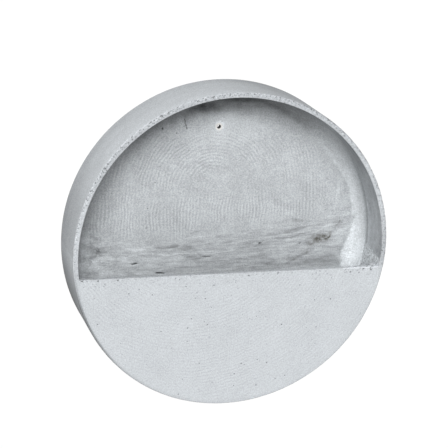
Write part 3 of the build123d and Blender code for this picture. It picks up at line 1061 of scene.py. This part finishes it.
def make_pocket_render():
    columns, rows, back_rows = 270, 210, 2
    across = np.linspace(-1, 1, columns + 1) * (np.pi / 2 - 0.04)
    x = COAT_R * np.sin(across)
    bottom = -np.sqrt(COAT_R ** 2 - x ** 2)
    top = np.minimum(between(COAT_LINE, x) + 14, -bottom)
    # Rows are close together near the top, where the coat shows above the panel
    share = np.linspace(0, 1, rows + 1) ** 0.5
    z = bottom[:, None] + (top - bottom)[:, None] * share
    x = np.broadcast_to(x[:, None], z.shape)
    cover = coat_cover(x, z)
    drag = rough_noise(x + 0.12 * z, 0, z - 0.10 * x, (46, 1, 4.0), 93)
    fine = rough_noise(x, 0, z, 3.4, 99)
    proud = (0.55 + 0.14 * drag + 0.08 * fine) * smooth_step(0.0, 1.0, cover) - 0.25
    y = PLATE_Y + plate_depth(x, z) - proud
    y = np.maximum(y, coat_low.y)
    front = np.stack([x, y, z], -1)
    back = np.stack([x, np.full_like(x, PLATE_Y + 3), z], -1)[:, [-1, 0]]
    points = np.concatenate([front, back], 1)
    behind = np.zeros((columns + 1, back_rows))
    # The tone takes in painted light at the right cove
    fields = {
        "tone": niche_tone(x, z) + right_cove_painted_light(x, z),
        "stain": niche_stain(x, z),
        "dragged": 0.12 + 0.88 * cover,
    }
    fields = {name: np.concatenate([values, behind], 1) for name, values in fields.items()}
    return make_piece("pocket_render_coat", points, capped_faces(*points.shape[:2]), **fields)


def make_hole_collar():
    columns = 96
    top, base = collar_low.y, collar_high.y
    shoulder = PLATE_Y + 0.8
    rows = [
        (HOLE_R, base), (HOLE_R, top + 0.9), (HOLE_R + 0.2, top + 0.5), (HOLE_R + 0.6, top + 0.25),
        (HOLE_R + 1.1, top + 0.2), (COLLAR_R - 1.2, top + 0.10), (COLLAR_R - 0.3, top + 0.15),
        (COLLAR_R, top + 0.5), (COLLAR_R, shoulder), (COLLAR_R - 1.0, shoulder), (COLLAR_R - 1.0, base),
    ]
    profile = np.array(rows)
    angle, r = np.meshgrid(np.linspace(0, 2 * np.pi, columns, endpoint=False), profile[:, 0], indexing="ij")
    y = np.broadcast_to(profile[:, 1], angle.shape)
    outer = smooth_step(HOLE_R + 0.3, COLLAR_R, r)
    ragged = 0.22 * (1 + rough_noise(np.cos(angle), np.sin(angle), 0, 0.5, 101)) * outer * (y < PLATE_Y + 0.9)
    chipped = 0.35 * (1 + noise(np.cos(angle), np.sin(angle), 5, 0.8, 105)) * (1 - outer) * (y < top + 0.95)
    r = r - ragged + chipped
    y = y + 0.14 * (1 + noise(r * np.cos(angle), y, r * np.sin(angle), 1.1, 103)) * (y < top + 0.6)
    points = around(r, y, angle) + np.array([HOLE_X, 0, HOLE_Z])
    tone = 0.10 * rough_noise(r * np.cos(angle), y, r * np.sin(angle), 1.5, 107)
    # Painted shade inside the bore
    tone = tone + HOLE_PAINTED_SHADE * smooth_step(top + 0.35, top + 0.8, y) * (r < HOLE_R + 1.2)
    faces = grid_faces(*angle.shape, True, True).tolist()
    return make_piece("hole_collar_filler", points, faces, tone=tone)


# ---------------- the object

DAMP_BROWN = (0.078, 0.075, 0.066)
GREY = (0.330, 0.346, 0.358)
SANDED_GREY = (0.360, 0.377, 0.393)

niche_concrete = concrete("brushed_concrete", GREY, pits=0.04, grain=0.30, swirls=SWIRLS, swirl_y=PLATE_Y)
rim_concrete = concrete("sanded_concrete", SANDED_GREY, mottle=0.03)
panel_concrete = concrete("panel_concrete", SANDED_GREY, mottle=0.03, grain=0.25, pits=0.21,
                          swirls=SANDED, swirl_y=FRONT)
mortar = concrete("mortar", GREY, grain=0.30)
coat_concrete = concrete("trowelled_coat", GREY, grain=0.30)
filler = concrete("pale_filler", (0.58, 0.575, 0.56), grain=0.20)

settle(make_back_plate(), "back_plate", niche_concrete)
settle(make_rim_wall(), "rim_wall", rim_concrete)
settle(make_front_panel(), "front_panel", panel_concrete)
settle(make_back_cove(), "back_cove", mortar)
settle(make_panel_fillet(), "panel_fillet", mortar)
settle(make_pocket_render(), "pocket_render", coat_concrete)
settle(make_hole_collar(), "hole_collar", filler)

fibre = fibre_mesh("coated_glass_fibre")
for scrim in ("back_scrim", "front_scrim", "rim_scrim"):
    mesh = bpy.data.objects[scrim].data
    mesh.materials.clear()
    mesh.materials.append(fibre)


# ---------------- camera

CAMERA_AZIMUTH = -17.21
CAMERA_ELEVATION = 17.70
CAMERA_ROLL = 2.73
CAMERA_DISTANCE = 2000
SENSOR_WIDTH = 36
LENS = 131.223214


def direction(azimuth, elevation):
    """The way out from the object, at degrees to the right of its front and degrees above the level."""
    a, e = radians(azimuth), radians(elevation)
    return Vector((np.sin(a) * np.cos(e), -np.cos(a) * np.cos(e), np.sin(e)))


front_centre = Vector((0, FRONT, 0))
aim = front_centre + Vector((-14.4, 0, 37.0))
eye = front_centre + direction(CAMERA_AZIMUTH, CAMERA_ELEVATION) * CAMERA_DISTANCE
camera = new_object("camera", bpy.data.cameras.new("camera"))
camera.data.sensor_width = SENSOR_WIDTH
camera.data.lens = LENS
camera.data.clip_end = 300
look = (aim - eye).to_track_quat("-Z", "Y").to_matrix().to_4x4()
camera.matrix_world = Matrix.Translation(eye * MM) @ look @ Matrix.Rotation(radians(CAMERA_ROLL), 4, "Z")
bpy.context.scene.camera = camera
bpy.context.scene.view_settings.view_transform = "Standard"


# ---------------- floor and light

def soft_sun(name, azimuth, elevation, strength, spread=30):
    """A soft light from far off. Its spread is the width of its source in degrees."""
    lamp = bpy.data.lights.new(name, "SUN")
    lamp.energy = strength
    lamp.angle = radians(spread)
    light = new_object(name, lamp)
    light.rotation_euler = (-direction(azimuth, elevation)).to_track_quat("-Z", "Y").to_euler()


soft_sun("key", -15, 35, 2.85)
soft_sun("front_fill", -18, 20, 1.60)
soft_sun("left_fill", -75, 50, 0.95)
soft_sun("rear_fill", 165, 30, 1.20, spread=60)
world = bpy.data.worlds.new("studio")
world.use_nodes = True
background = world.node_tree.nodes["Background"].inputs
background["Color"].default_value = (1, 1, 1, 1)
background["Strength"].default_value = 0.05
bpy.context.scene.world = world

FLOOR_Z = -2.6
FLOOR_HALF = 60.0
floor_mesh = bpy.data.meshes.new("floor")
corners = [(-1, -1), (1, -1), (1, 1), (-1, 1)]
floor_mesh.from_pydata([(FLOOR_HALF * a, FLOOR_HALF * b, FLOOR_Z) for a, b in corners], [], [(0, 1, 2, 3)])
floor = new_object("floor", floor_mesh)
floor_paint = bpy.data.materials.new("floor_paint")
floor_paint.use_nodes = True
paint_inputs = floor_paint.node_tree.nodes["Principled BSDF"].inputs
paint_inputs["Base Color"].default_value = (0.88, 0.88, 0.88, 1)
paint_inputs["Roughness"].default_value = 0.9
floor_mesh.materials.append(floor_paint)
